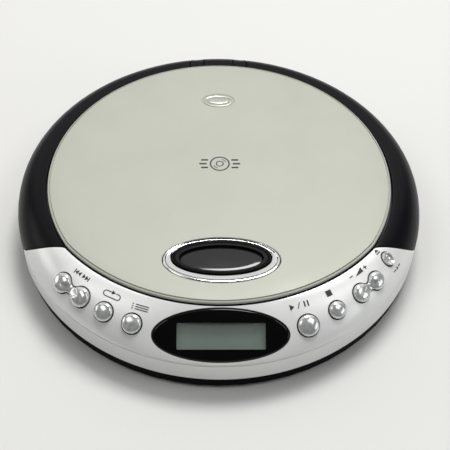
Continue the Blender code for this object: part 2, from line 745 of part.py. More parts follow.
def make_chassis():
    pinion_x = RACK_LINE_X + GEAR_MODULE * (GEAR_TEETH + PINION_TEETH / 2)
    top = CHASSIS_Z + 1.2
    frame = box("mech_chassis", (-23, -62.5, CHASSIS_Z), (23, 14, top), steel)
    join(frame, box("motor_wing", (20, -34, CHASSIS_Z), (pinion_x + 7, -18, top), steel))
    for side in (-1, 1):
        for y in (-61.0, -12.4):
            x = side * ROD_X
            low = (x - 1.9, y - 0.9, top - 0.6)
            high = (x + 1.9, y + 0.9, 15.4)
            join(frame, box(f"rod_post_{side}_{y}", low, high, steel))
    gear_x = RACK_LINE_X + GEAR_MODULE * GEAR_TEETH / 2
    join(frame, cylinder("gear_post", 0.8, top - 0.5, 11.9, steel, (gear_x, GEAR_Y), 12))
    along = Matrix.Rotation(math.pi / 2, 4, "X")
    for side in (-1, 1):
        way = cylinder(f"post_way_{side}", 1.3, -80, 80, steel, steps=16)
        cut(frame, put(way, Matrix.Translation((side * ROD_X * MM, 0, ROD_Z * MM)) @ along))
    cut(frame, cylinder("motor_way", 2.4, 0, 20, steel, (pinion_x, GEAR_Y), 16))
    cut(frame, box("sled_space", (-13, -57, 0), (13, -14, 20), steel))
    for name, x, y in (
        ("damper_front_left", -18, -59),
        ("damper_front_right", 18, -59),
        ("damper_rear", 0, 11),
    ):
        profile = [(0, 7.9), (2.6, 7.9), (1.9, 6.6), (1.9, 4.4), (2.6, 3.1), (0, 3.1)]
        lathe(name, profile, rubber, (x, y), 16)


def make_spindle():
    profile = [(1.4, 16.2), (6, 16.2), (10, 15.2), (10, 9.7), (1.4, 9.7)]
    lathe("spindle_motor", profile, steel, (0, SPINDLE_Y), 24, closed=True)
    profile = [
        (0, 23.2),
        (5.6, 23.2),
        (7.2, 22.3),
        (7.2, 20.2),
        (TURNTABLE_RADIUS, 20.2),
        (TURNTABLE_RADIUS, 19.2),
        (4, 18.4),
        (4, 16.6),
        (1.0, 16.6),
        (1.0, 10.4),
        (0, 10.4),
    ]
    hub = lathe("turntable_hub", profile, dark, (0, SPINDLE_Y), 24)
    for turn in (90, 210, 330):
        angle = math.radians(turn)
        ball = lathe(
            f"ball_{turn}",
            [(0, 0.9), (0.64, 0.64), (0.9, 0), (0.64, -0.64), (0, -0.9)],
            steel,
            steps=10,
        )
        spot = (6.9 * MM * math.cos(angle), SPINDLE_Y * MM + 6.9 * MM * math.sin(angle), 21.9 * MM)
        join(hub, put(ball, Matrix.Translation(spot)))


def make_main_board():
    edge = [(-26, -42), (-26, 22), (-32, 24.2), (-32, 50), (-38, 50)]
    for bearing in range(-142, -49, 10):
        x, y, _ = point_at(bearing, 63.8, 0)
        edge.append((x, y))
    board = plate("main_board", edge, 9.0, 10.2, board_green)
    chips = (
        ("processor", (-52, -12, 9.8), (-38, 2, 11.8)),
        ("memory", (-50, 12, 9.8), (-40, 19, 11.4)),
        ("driver", (-44, -30, 9.8), (-34, -22, 11.6)),
    )
    for name, low, high in chips:
        join(board, box(name, low, high, dark))
    join(board, cylinder("reservoir", 3.2, 9.8, 16.5, steel, (-50, 30), 16))


def make_sockets():
    for name, bearing, bore in (("headphone_jack", -115, 1.8), ("power_jack", -127, 2.1)):
        place = wall_frame(bearing, 12.2)
        jack = put(box(name, (-3.5, -3.0, -11.0), (3.5, 3.0, -4.0), dark), place)
        join(jack, put(cylinder(name + "_nose", 2.4, -4.5, -0.5, dark), place))
        cut(jack, put(cylinder(name + "_bore", bore, -10, 2, dark, steps=16), place))
    for name, bearing in (("hold_switch", 112), ("bass_switch", 126)):
        place = wall_frame(bearing, 12.2)
        switch = put(box(name, (-3.2, -1.0, -2.5), (0.2, 1.0, 0.5), dark), place)
        join(switch, put(box(name + "_plate", (-6.0, -1.7, -3.0), (3.0, 1.7, -2.1), dark), place))


for existing in list(bpy.data.objects):
    bpy.data.objects.remove(existing)
player = bpy.data.collections.new("portable_cd_player")
bpy.context.scene.collection.children.link(player)
cutters = bpy.data.collections.new("cutters")
bpy.context.scene.collection.children.link(cutters)

silver = material("silver_plastic", (0.6, 0.61, 0.56), 0.35, 0.6)
chrome = material("chrome", (0.8, 0.8, 0.8), 0.12, 1.0)
black = material("black_plastic", (0.012, 0.012, 0.014), 0.45)
dark = material("dark_plastic", (0.03, 0.03, 0.032), 0.5)
smoke = material("smoked_lens", (0.04, 0.042, 0.045), 0.08, 0.0, 0.6)
lcd = material("display_glass", (0.13, 0.18, 0.14), 0.2)
rubber = material("rubber", (0.02, 0.02, 0.02), 0.85)
steel = material("steel", (0.55, 0.55, 0.56), 0.3, 1.0)
brass = material("brass", (0.6, 0.45, 0.18), 0.3, 1.0)
white = material("white_plastic", (0.7, 0.7, 0.66), 0.4)
board_green = material("circuit_board", (0.02, 0.12, 0.05), 0.5)

make_feet()
make_lower_case()
make_battery_door()
make_battery_contacts()
make_screws()
make_upper_case()
make_front_fascia()
make_display()
make_keys()
make_key_boards()
make_lid()
make_hinge()
make_latch()
make_disc_well()
make_chassis()
make_spindle()
make_pickup()
make_sled_drive()
make_main_board()
make_sockets()
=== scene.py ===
"""The looks of the portable CD player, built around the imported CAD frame.

Shape helpers take millimetres in the CAD's own frame: +Z up, -Y to the display, +X to the
user's right. Bearings are degrees from the front (-Y), positive towards +X.
"""

import json
import math

import bmesh
import bpy
from mathutils import Matrix, Vector
from mathutils.bvhtree import BVHTree
from mathutils.interpolate import poly_3d_calc


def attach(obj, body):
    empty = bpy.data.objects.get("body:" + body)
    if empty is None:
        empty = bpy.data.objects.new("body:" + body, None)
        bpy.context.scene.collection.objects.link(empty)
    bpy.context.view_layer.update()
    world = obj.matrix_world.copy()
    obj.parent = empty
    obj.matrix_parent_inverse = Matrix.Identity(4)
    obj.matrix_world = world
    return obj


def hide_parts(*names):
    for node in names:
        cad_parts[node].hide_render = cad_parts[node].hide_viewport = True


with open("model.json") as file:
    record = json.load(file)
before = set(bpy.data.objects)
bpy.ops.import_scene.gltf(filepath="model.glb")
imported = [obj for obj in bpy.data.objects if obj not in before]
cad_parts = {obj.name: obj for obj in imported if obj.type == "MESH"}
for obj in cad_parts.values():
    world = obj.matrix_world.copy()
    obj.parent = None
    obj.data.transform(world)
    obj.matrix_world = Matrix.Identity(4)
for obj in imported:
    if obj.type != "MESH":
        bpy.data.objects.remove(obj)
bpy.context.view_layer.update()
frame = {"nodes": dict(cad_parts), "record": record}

MM = 0.001

# Case, as in the CAD, but with a wider gap between the silver and black shells
RIM_RADIUS = 75.85
RIM_HEIGHT = 15.4
WALL_BOTTOM = 6.55
COLLAR_RADIUS = 64.27
COLLAR_HEIGHT = 26.45
FRONT_ARC_RADIUS = 70.83
FRONT_ARC_Y = 11.09
SKIN_THICKNESS = 1.7
GRIP_EXPONENT = 1.7
REAR_EXPONENT = 2.15
FASCIA_EXPONENT = 1.12
JUNCTION_TOP = 57.5
JUNCTION_SWEEP = 12.4
JUNCTION_GAP = 0.16

# Lid, as in the CAD, but with its top 0.08 lower, so that the marks on it stay under the CAD's height
LID_RADIUS = 63.55
LID_ARC_RADIUS = 70.13
LID_BOTTOM = 26.1
LID_TOP = 27.62

# Openings in the grips, at the CAD's places: the hinge arms' notches, the sockets (bearing and
# radius) and the switches (bearing)
ARM_X = 9
ARM_NOTCH_Y = 66.3
ARM_NOTCH_HALF = (3.1, 6.5)
SOCKETS = {"phones_way": (-115, 2.7), "power_way": (-127, 2.9)}
SWITCHES = {"hold_way": 112, "bass_way": 126}
SWITCH_HALF = (3.6, 1.3)
SWITCH_CORNER = 0.5
SOCKET_HEIGHT = 12.2

# Window of the lid, as in the CAD: centre and half sizes of each oval
WINDOW = (0.4, -40.9, 20.3, 9.9)
WINDOW_INNER = (0.4, -39.3, 17.4, 7.4)
WINDOW_GLASS = (0.4, -39.5, 14.4, 5.4)

# Keys, as in the CAD: bearing, place down the slope, radius
KEYS = {
    "repeat_button": (-33.7, 0.52, 3.25),
    "program_button": (-25.05, 0.52, 3.35),
    "play_button": (24.6, 0.54, 3.65),
    "stop_button": (34.0, 0.50, 3.0),
}
# Rockers, as in the CAD: bearing, place down the slope, half the distance between lobes, lobe radius
ROCKERS = {
    "skip_rocker": (-45.45, 0.505, 4.42, 3.5),
    "volume_rocker": (46.05, 0.47, 3.85, 3.2),
}
ROCKER_WAIST = 1.35
# Open key, as in the CAD: bearing, place down the slope, radius, and its stretch along the slope.
# The trim is what its radius loses here.
OPEN_KEY = (57.0, 0.36, 2.4)
OPEN_STRETCH = 1.2
OPEN_TRIM = 0.25
# Gap round each key, how near its black tube of painted shade comes to it, and how far that tube
# reaches into the shell
KEY_GAP = 0.32
ROUND_CLEARANCE = 0.08
ROCKER_CLEARANCE = 0.26
GAP_SHADE_OVERLAP = 0.03
# Heights over the skin: the level a cap rises from, its top, and the middle of a rocker
SHOULDER = 0.3
CROWN = 1.7
ROCKER_DIP = 0.62

# Display
DISPLAY_CENTRE = (0, -67.85, 21.3)
DISPLAY_SLOPE = 33.5
DISPLAY_HALF = (22.9, 8.9)
LCD_VIEW = (0.15, -0.3, 14.75, 4.4)

# Marks on the lid
DISC_MARK = (0.1, 5.5)
EMBLEM = (-0.3, 41.1, 6.5, 4.0)

# Mesh fineness
SLOPE_STEPS = 26
ROUND_STEPS = 72
OVAL_STEPS = 160
EMBLEM_STEPS = 96
FASCIA_COLUMNS = 110
GRIP_COLUMNS = 150

# How near points are one point, and how near and alike a cut face is to the surface it came from
WELD = 0.002
ON_SURFACE = 0.004
SAME_FACING = 0.93

# Camera that matches the photograph's view of the case
CAMERA_PLACE = (-3.83, -243.24, 277.45)
CAMERA_RIGHT = (0.99986, -0.01037, 0.01328)
CAMERA_UP = (-0.00092, 0.7533, 0.65768)
CAMERA_FORWARD = (0.01683, 0.6576, -0.75318)
CAMERA_LENS = 74.8
CAMERA_SENSOR = 36

# Studio, in metres and watts
FLOOR_REACH = 4.0
WORLD_COLOUR = (0.95, 0.97, 1.0, 1)
WORLD_STRENGTH = 0.08


def link(nodes, *pairs):
    for source, target in pairs:
        nodes.links.new(source, target)


def grain_material(name, colour, roughness, metallic=0.0, mottle=0.06, fine=900.0,
                   bump=0.02, rough_spread=0.06, coarse=35.0, **sockets):
    """A Principled material with broad tone drift, fine grain in the bump and uneven gloss."""
    made = bpy.data.materials.new(name)
    made.use_nodes = True
    tree = made.node_tree
    shader = tree.nodes["Principled BSDF"]
    shader.inputs["Metallic"].default_value = metallic
    for socket, value in sockets.items():
        shader.inputs[socket.replace("_", " ")].default_value = value
    place = tree.nodes.new("ShaderNodeTexCoord")
    broad = tree.nodes.new("ShaderNodeTexNoise")
    broad.inputs["Scale"].default_value = coarse
    broad.inputs["Detail"].default_value = 5.0
    broad.inputs["Roughness"].default_value = 0.6
    grain = tree.nodes.new("ShaderNodeTexNoise")
    grain.inputs["Scale"].default_value = fine
    grain.inputs["Detail"].default_value = 3.0
    ramp = tree.nodes.new("ShaderNodeValToRGB")
    low = [c * (1 - mottle) for c in colour]
    high = [min(c * (1 + mottle), 1) for c in colour]
    ramp.color_ramp.elements[0].position = 0.3
    ramp.color_ramp.elements[1].position = 0.7
    ramp.color_ramp.elements[0].color = (*low, 1)
    ramp.color_ramp.elements[1].color = (*high, 1)
    spread = tree.nodes.new("ShaderNodeMapRange")
    spread.inputs["From Min"].default_value = 0.3
    spread.inputs["From Max"].default_value = 0.7
    spread.inputs["To Min"].default_value = max(roughness - rough_spread, 0.01)
    spread.inputs["To Max"].default_value = roughness + rough_spread
    relief = tree.nodes.new("ShaderNodeBump")
    relief.inputs["Strength"].default_value = bump
    relief.inputs["Distance"].default_value = 0.0002
    link(
        tree,
        (place.outputs["Object"], broad.inputs["Vector"]),
        (place.outputs["Object"], grain.inputs["Vector"]),
        (broad.outputs["Fac"], ramp.inputs["Fac"]),
        (broad.outputs["Fac"], spread.inputs["Value"]),
        (grain.outputs["Fac"], relief.inputs["Height"]),
        (ramp.outputs["Color"], shader.inputs["Base Color"]),
        (spread.outputs["Result"], shader.inputs["Roughness"]),
        (relief.outputs["Normal"], shader.inputs["Normal"]),
    )
    return made


silver = grain_material(
    "lid_satin", (0.462, 0.470, 0.410), 0.46, 0.08, mottle=0.03, fine=2600.0, bump=0.10,
    rough_spread=0.06, coarse=45.0, Specular_IOR_Level=0.32,
)
fascia_silver = grain_material(
    "fascia_silver", (0.82, 0.825, 0.815), 0.34, 0.22, mottle=0.012, fine=3400.0, bump=0.08,
    rough_spread=0.05, coarse=90.0, Specular_IOR_Level=0.5,
)
grip_black = grain_material(
    "grip_black", (0.0050, 0.0050, 0.0062), 0.33, mottle=0.15, fine=3200.0, bump=0.12,
    rough_spread=0.04, coarse=50.0, Specular_IOR_Level=0.09,
)
base_black = grain_material(
    "base_black", (0.0012, 0.0012, 0.0014), 0.45, mottle=0.15, fine=2200.0, bump=0.35,
    rough_spread=0.05, coarse=50.0, Specular_IOR_Level=0.03,
)
dark_plastic = grain_material(
    "well_plastic", (0.022, 0.022, 0.024), 0.45, mottle=0.12, fine=2600.0, bump=0.3,
    rough_spread=0.05, coarse=60.0,
)
# Black of the window's inner frame, and also the painted shade in the gaps round the keys
inner_black = grain_material(
    "inner_black", (0.001, 0.001, 0.001), 0.35, mottle=0.2, fine=1800.0, bump=0.05,
    rough_spread=0.05, coarse=60.0, Specular_IOR_Level=0.03,
)
emblem_silver = grain_material(
    "emblem_silver", (0.46, 0.47, 0.41), 0.28, 0.45, mottle=0.04, fine=2000.0, bump=0.08,
    rough_spread=0.05, coarse=120.0,
)
chrome = grain_material(
    "bezel_chrome", (0.80, 0.81, 0.79), 0.10, 1.0, mottle=0.03, fine=500.0, bump=0.02,
    rough_spread=0.03, coarse=120.0,
)
key_chrome = grain_material(
    "key_chrome", (0.66, 0.67, 0.66), 0.17, 0.55, mottle=0.24, fine=500.0, bump=0.10,
    rough_spread=0.09, coarse=700.0, Coat_Weight=1.0, Coat_Roughness=0.03,
)
gloss_black = grain_material(
    "display_black", (0.0018, 0.0018, 0.002), 0.05, mottle=0.2, fine=300.0, bump=0.004,
    rough_spread=0.02, coarse=60.0, Specular_IOR_Level=0.2, Coat_Weight=0.1, Coat_Roughness=0.02,
)
pane_clear = grain_material(
    "display_pane", (0.5, 0.52, 0.5), 0.05, mottle=0.05, fine=300.0, bump=0.003,
    rough_spread=0.02, coarse=60.0, Alpha=0.10,
)
window_smoke = grain_material(
    "window_smoke", (0.010, 0.010, 0.010), 0.10, mottle=0.05, fine=300.0, bump=0.004,
    rough_spread=0.03, coarse=80.0, Specular_IOR_Level=0.5,
)
lcd_green = grain_material(
    "lcd_green", (0.150, 0.215, 0.178), 0.3, mottle=0.07, fine=4000.0, bump=0.03,
    rough_spread=0.05, coarse=70.0,
)
print_dark = grain_material(
    "print_dark", (0.02, 0.02, 0.02), 0.5, mottle=0.15, fine=3000.0, bump=0.1,
    rough_spread=0.05, coarse=600.0,
)
rubber = grain_material(
    "foot_rubber", (0.016, 0.016, 0.016), 0.82, mottle=0.2, fine=1500.0, bump=0.5,
    rough_spread=0.06, coarse=90.0,
)
steel = grain_material(
    "bright_steel", (0.53, 0.53, 0.54), 0.28, 1.0, mottle=0.08, fine=1600.0, bump=0.12,
    rough_spread=0.08, coarse=80.0,
)
brass = grain_material(
    "pinion_brass", (0.60, 0.44, 0.17), 0.3, 1.0, mottle=0.1, fine=1600.0, bump=0.1,
    rough_spread=0.06, coarse=150.0,
)
acetal = grain_material(
    "gear_acetal", (0.68, 0.67, 0.61), 0.42, mottle=0.05, fine=1500.0, bump=0.1,
    rough_spread=0.05, coarse=150.0, Subsurface_Weight=0.1,
)
board_green = grain_material(
    "board_green", (0.014, 0.10, 0.038), 0.38, mottle=0.2, fine=900.0, bump=0.3,
    rough_spread=0.06, coarse=260.0,
)
lens_blue = grain_material(
    "pickup_glass", (0.03, 0.04, 0.09), 0.06, mottle=0.2, fine=500.0, bump=0.01,
    rough_spread=0.03, coarse=300.0, Coat_Weight=1.0, Coat_Roughness=0.03,
)


def arc_edge(bearing, radius):
    """Distance from the centre to the front arc, along a bearing."""
    along = -math.cos(math.radians(bearing)) * FRONT_ARC_Y
    return along + math.sqrt(along * along - FRONT_ARC_Y**2 + radius**2)


def collar_edge(bearing):
    return min(COLLAR_RADIUS, arc_edge(bearing, FRONT_ARC_RADIUS))


def eased(value, start, end):
    share = min(max((value - start) / (end - start), 0), 1)
    return share * share * (3 - 2 * share)


def exponent(bearing):
    """The power that shapes the sloping surface: slack in front, fullest behind."""
    turned = abs((bearing + 180) % 360 - 180)
    front = (GRIP_EXPONENT - FASCIA_EXPONENT) * eased(turned, 8, 57)
    rear = (REAR_EXPONENT - GRIP_EXPONENT) * eased(turned, 62, 105)
    return 2 / (FASCIA_EXPONENT + front + rear)


def skin(bearing, slope):
    """Radius and height of the case's sloping surface, 0 at the collar to 1 at the rim."""
    power = exponent(bearing)
    turn = slope * math.pi / 2
    inner = collar_edge(bearing)
    radius = inner + (RIM_RADIUS - inner) * math.sin(turn) ** power
    height = RIM_HEIGHT + (COLLAR_HEIGHT - RIM_HEIGHT) * max(math.cos(turn), 0) ** power
    return radius, height


def point_at(bearing, radius, height):
    angle = math.radians(bearing)
    return Vector((radius * math.sin(angle), -radius * math.cos(angle), height))


def skin_point(bearing, slope):
    radius, height = skin(bearing, slope)
    return point_at(bearing, radius, height)


def inward(bearing, slope, depth):
    radius, height = skin(bearing, slope)
    turn = slope * math.pi / 2
    return point_at(bearing, radius - depth * math.sin(turn), height - depth * math.cos(turn))


def junction(slope):
    return JUNCTION_TOP + JUNCTION_SWEEP * slope


def skin_frame(bearing, slope):
    """X round the case, Y up the slope, Z out of the skin, in millimetres."""
    origin = skin_point(bearing, slope)
    across = (skin_point(bearing + 0.5, slope) - skin_point(bearing - 0.5, slope)).normalized()
    up = skin_point(bearing, slope - 0.02) - skin_point(bearing, slope + 0.02)
    out = across.cross(up).normalized()
    place = Matrix((across, out.cross(across), out)).transposed().to_4x4()
    place.translation = origin
    return place


def wall_frame(bearing, height):
    """X round the case, Y up, Z out of its upright wall."""
    angle = math.radians(bearing)
    across = Vector((math.cos(angle), math.sin(angle), 0))
    out = Vector((math.sin(angle), -math.cos(angle), 0))
    place = Matrix((across, Vector((0, 0, 1)), out)).transposed().to_4x4()
    place.translation = point_at(bearing, RIM_RADIUS, height)
    return place


def display_frame():
    place = Matrix.Rotation(math.radians(DISPLAY_SLOPE), 4, "X")
    place.translation = Vector(DISPLAY_CENTRE)
    return place


def mesh_object(name, points, faces, look=None):
    mesh = bpy.data.meshes.new(name)
    mesh.from_pydata([Vector(p) * MM for p in points], [], faces)
    shape = bmesh.new()
    shape.from_mesh(mesh)
    bmesh.ops.remove_doubles(shape, verts=shape.verts, dist=WELD * MM)
    bmesh.ops.recalc_face_normals(shape, faces=shape.faces)
    shape.to_mesh(mesh)
    shape.free()
    made = bpy.data.objects.new(name, mesh)
    bpy.context.scene.collection.objects.link(made)
    if look:
        mesh.materials.append(look)
    return made


def cut(target, *tools):
    """Cuts a piece with its tools, and removes them."""
    for tool in tools:
        change = target.modifiers.new("cut", "BOOLEAN")
        change.operation = "DIFFERENCE"
        change.solver = "EXACT"
        change.object = tool
        graph = bpy.context.evaluated_depsgraph_get()
        mesh = bpy.data.meshes.new_from_object(target.evaluated_get(graph))
        target.modifiers.remove(change)
        old = target.data
        target.data = mesh
        mesh.name = old.name
        bpy.data.meshes.remove(old)
        bpy.data.objects.remove(tool)
    while len(target.data.materials) > 1:
        target.data.materials.pop()
    for face in target.data.polygons:
        face.material_index = 0


def soften(mesh, angle=32):
    """Shades a mesh smooth except over edges sharper than an angle."""
    mesh.polygons.foreach_set("use_smooth", [True] * len(mesh.polygons))
    mesh.set_sharp_from_angle(angle=math.radians(angle))


def shading_of(piece):
    """The surface of an uncut piece with the shading at each corner of its faces."""
    mesh = piece.data
    soften(mesh)
    points = [v.co.copy() for v in mesh.vertices]
    faces = [tuple(p.vertices) for p in mesh.polygons]
    corners = [[mesh.corner_normals[i].vector.copy() for i in p.loop_indices] for p in mesh.polygons]
    return BVHTree.FromPolygons(points, faces), [[points[i] for i in f] for f in faces], corners


def keep_shading(piece, shading):
    """Gives the faces that a cut left on the old surface their old shading."""
    tree, outlines, corners = shading
    mesh = piece.data
    soften(mesh)
    wanted = []
    for face in mesh.polygons:
        for i in face.vertices:
            spot, facing, index, away = tree.find_nearest(mesh.vertices[i].co)
            normal = Vector((0, 0, 0))
            alike = away < ON_SURFACE * MM and facing.dot(face.normal) > SAME_FACING
            if alike and len(outlines[index]) == 4:
                shares = poly_3d_calc(outlines[index], spot)
                for share, corner in zip(shares, corners[index]):
                    normal += corner * share
                normal.normalize()
            wanted.append(normal)
    mesh.normals_split_custom_set(wanted)


def done(piece, body, slot, *nodes, angle=32):
    """Smooths a piece without shading of its own, and says its body and its CAD nodes. The slot is not
    used.
    """
    if not piece.data.has_custom_normals:
        soften(piece.data, angle)
    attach(piece, body)
    if nodes:
        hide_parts(*nodes)
    return piece


def rings(name, loops, look, cap_first=True, cap_last=True):
    """Skins a row of closed loops of equal count."""
    count = len(loops[0])
    points = [p for loop in loops for p in loop]
    faces = []
    for k in range(len(loops) - 1):
        for i in range(count):
            j = (i + 1) % count
            faces.append((k * count + i, k * count + j, (k + 1) * count + j, (k + 1) * count + i))
    if cap_first:
        faces.append(tuple(range(count - 1, -1, -1)))
    if cap_last:
        faces.append(tuple((len(loops) - 1) * count + i for i in range(count)))
    return mesh_object(name, points, faces, look)


def tube(name, loops, look):
    """Skins a row of loops back to its first, so that it is a ring without caps."""
    return rings(name, loops + loops[:1], look, cap_first=False, cap_last=False)


def circle(radius, stretch=1.0, steps=ROUND_STEPS):
    turns = [2 * math.pi * i / steps for i in range(steps)]
    return [(radius * math.cos(t), radius * stretch * math.sin(t)) for t in turns]


def ellipse(shape, grow=0.0, steps=128):
    x, y, half_x, half_y = shape
    turns = [2 * math.pi * i / steps for i in range(steps)]
    return [(x + (half_x + grow) * math.cos(t), y + (half_y + grow) * math.sin(t)) for t in turns]


def dumbbell(arm, radius, waist, grow=0.0):
    """Two round lobes joined by a waist with concave sides, and the spine point of each."""
    lobe_steps, waist_steps = 26, 12
    fillet = (arm**2 + waist**2 - radius**2) / (2 * (radius - waist))
    middle = waist + fillet
    turn = math.atan2(middle, -arm)
    line, spine = [], []
    for side in (1, -1):
        start = -turn if side > 0 else math.pi - turn
        for i in range(lobe_steps + 1):
            angle = start + 2 * turn * i / lobe_steps
            x = side * arm + (radius + grow) * math.cos(angle)
            line.append((x, (radius + grow) * math.sin(angle)))
            spine.append((side * arm, 0))
        spread = math.atan2(arm, middle)
        for i in range(1, waist_steps):
            lean = spread * (1 - 2 * i / waist_steps)
            x = side * (fillet - grow) * math.sin(lean)
            y = side * (middle - (fillet - grow) * math.cos(lean))
            line.append((x, y))
            spine.append((side * arm * (1 - 2 * i / waist_steps), 0))
    return line, spine


def rounded_box(shape, corner):
    x, y, half_x, half_y = shape
    steps = 8
    line = []
    for k, (sx, sy) in enumerate(((1, 1), (-1, 1), (-1, -1), (1, -1))):
        for i in range(steps + 1):
            angle = math.pi / 2 * (k + i / steps)
            line.append(
                (
                    x + sx * (half_x - corner) + corner * math.cos(angle),
                    y + sy * (half_y - corner) + corner * math.sin(angle),
                )
            )
    return line


def flat(loop, height):
    """A loop of points at one height."""
    return [Vector((x, y, height)) for x, y in loop]


def raised(loop, place, height):
    """A loop of local points carried to a place, at one local height."""
    return [place @ Vector((x, y, height)) for x, y in loop]


def draped(loop, place, surface, height):
    """A loop of local points let down on a surface, then raised by a height."""
    above = 12
    down = place.to_3x3() @ Vector((0, 0, -1))
    found = []
    for x, y in loop:
        start = place @ Vector((x, y, above))
        hit = surface.ray_cast(start, down)[0]
        local_z = above - (hit - start).length if hit else 0.0
        found.append(place @ Vector((x, y, local_z + height)))
    return found


def chamfered_cutter(name, outline_at, place, surface, chamfer=0.14):
    """A plug for a hole whose lip is chamfered by the same width all round."""
    top, bottom = 8, -5
    loops = [
        raised(outline_at(chamfer), place, top),
        draped(outline_at(chamfer), place, surface, 0.0),
        draped(outline_at(chamfer * 0.35), place, surface, -chamfer * 0.65),
        draped(outline_at(0.0), place, surface, -chamfer * 1.6),
        raised(outline_at(0.0), place, bottom),
    ]
    return rings(name, loops, None)


def section(bearing_at, depth, drop, groove):
    """One closed section: the outer skin from the collar to the foot, then the inner skin.

    The drop draws the outer skin in, for rounded ends. The groove runs under the rim.
    """
    lip = 0.25
    top = bearing_at(0)
    inner = collar_edge(top)
    reach = RIM_RADIUS - inner
    first = math.asin(((lip + 0.02) / reach) ** (1 / exponent(top))) * 2 / math.pi
    slopes = [first + (1 - first) * i / SLOPE_STEPS for i in range(SLOPE_STEPS + 1)]
    outer = []
    for angle in (0, 30, 60):
        t = math.radians(angle)
        out = lip * (1 - math.cos(t))
        down = lip * (1 - math.sin(t))
        outer.append(point_at(top, inner + out, COLLAR_HEIGHT - down - drop))
    outer += [inward(bearing_at(s), s, drop) for s in slopes]
    rim = bearing_at(1)
    wall = RIM_RADIUS - drop
    for below, notch in ((0.3, 0.0), (0.45, groove), (0.75, groove), (0.95, 0.0), (3.0, 0.0)):
        outer.append(point_at(rim, wall - notch, RIM_HEIGHT - below))
    outer.append(point_at(rim, wall, WALL_BOTTOM + 0.25))
    outer.append(point_at(rim, wall - 0.25, WALL_BOTTOM))
    under = [inward(bearing_at(s), s, depth) for s in slopes]
    under_top = inward(top, 0, depth)
    foot = point_at(rim, RIM_RADIUS - depth, WALL_BOTTOM)
    inner_side = [foot] + under[::-1] + [under_top]
    return outer, inner_side


def skin_shell(name, start, end, steps, look, round_ends=0.3, groove=0.0):
    """A stretch of the case's skin between two bearings that vary down the slope."""
    stations = [(0.0, 1.0)]
    for angle in (25, 50, 75):
        t = math.radians(angle)
        stations.append((round_ends * (1 - math.cos(t)), 1 - math.sin(t)))
    columns = []

    def add_column(offset_mm, share, drop):
        def bearing_at(s):
            radius = skin(start(s), s)[0]
            shift = math.degrees(offset_mm / radius)
            return start(s) + (end(s) - start(s)) * share + shift

        outer, inner_side = section(bearing_at, SKIN_THICKNESS, drop * round_ends, groove)
        columns.append(outer + inner_side)

    for offset, drop in stations:
        add_column(offset, 0.0, drop)
    add_column(round_ends, 0.0, 0.0)
    for i in range(1, steps):
        add_column(0.0, i / steps, 0.0)
    add_column(-round_ends, 1.0, 0.0)
    for offset, drop in stations[::-1]:
        add_column(-offset, 1.0, drop)
    return rings(name, columns, look)


def surface_of(piece):
    points = [v.co / MM for v in piece.data.vertices]
    return BVHTree.FromPolygons(points, [tuple(p.vertices) for p in piece.data.polygons])


def key_outline(radius, stretch=1.0):
    return lambda grow: circle(radius + grow, (radius * stretch + grow) / (radius + grow))


def rocker_outline(arm, radius, gap=0.0):
    return lambda grow: dumbbell(arm, radius, ROCKER_WAIST, grow + gap)[0]


def make_fascia():
    panel = skin_shell(
        "fascia_shell",
        lambda s: -junction(s) + JUNCTION_GAP,
        lambda s: junction(s) - JUNCTION_GAP,
        FASCIA_COLUMNS,
        fascia_silver,
        groove=0.2,
    )
    surface = surface_of(panel)
    shading = shading_of(panel)
    tools = []
    for name, (bearing, slope, radius) in KEYS.items():
        shape = key_outline(radius + KEY_GAP)
        tools.append(chamfered_cutter(name + "_way", shape, skin_frame(bearing, slope), surface))
    for name, (bearing, slope, arm, radius) in ROCKERS.items():
        shape = rocker_outline(arm, radius, KEY_GAP)
        tools.append(chamfered_cutter(name + "_way", shape, skin_frame(bearing, slope), surface))
    bearing, slope, radius = OPEN_KEY
    shape = key_outline(radius - OPEN_TRIM + KEY_GAP, OPEN_STRETCH)
    tools.append(chamfered_cutter("open_way", shape, skin_frame(bearing, slope), surface, 0.1))
    shape = lambda grow: ellipse((0, 0, *DISPLAY_HALF), grow + 0.2)
    tools.append(chamfered_cutter("display_way", shape, display_frame(), surface, 0.12))
    cut(panel, *tools)
    keep_shading(panel, shading)
    done(panel, "case", "silver_plastic", "front_fascia")
    return surface


def make_grips():
    grips = skin_shell(
        "grip_shell",
        lambda s: junction(s) + JUNCTION_GAP,
        lambda s: 360 - junction(s) - JUNCTION_GAP,
        GRIP_COLUMNS,
        grip_black,
        round_ends=0.2,
    )
    shading = shading_of(grips)
    tools = []
    for side in (-1, 1):
        x = side * ARM_X
        loop = rounded_box((x, ARM_NOTCH_Y, *ARM_NOTCH_HALF), 0.5)
        notch = [flat(loop, z) for z in (18, 30)]
        tools.append(rings(f"notch_{side}", notch, None))
    for name, (bearing, radius) in SOCKETS.items():
        place = wall_frame(bearing, SOCKET_HEIGHT)
        loops = [(radius + 0.5, 2), (radius + 0.35, 0.05), (radius, -0.3), (radius, -4)]
        tools.append(rings(name, [raised(circle(r, steps=48), place, z) for r, z in loops], None))
    half_x, half_y = SWITCH_HALF
    for name, bearing in SWITCHES.items():
        place = wall_frame(bearing, SOCKET_HEIGHT)
        loops = [(0.35, 2), (0.3, 0.05), (0.0, -0.3), (0.0, -4)]
        shape = []
        for grow, z in loops:
            loop = rounded_box((0, 0, half_x + grow, half_y + grow), SWITCH_CORNER + grow)
            shape.append(raised(loop, place, z))
        tools.append(rings(name, shape, None))
    cut(grips, *tools)
    keep_shading(grips, shading)
    done(grips, "case", "black_plastic", "upper_case")


# Outline of a key's cap: share of its radius, share of its rise from the shoulder
CAP = ((1.0, 0.0), (0.985, 0.2), (0.94, 0.42), (0.88, 0.56), (0.78, 0.70), (0.64, 0.83),
       (0.45, 0.93), (0.22, 0.985), (0.0, 1.0))


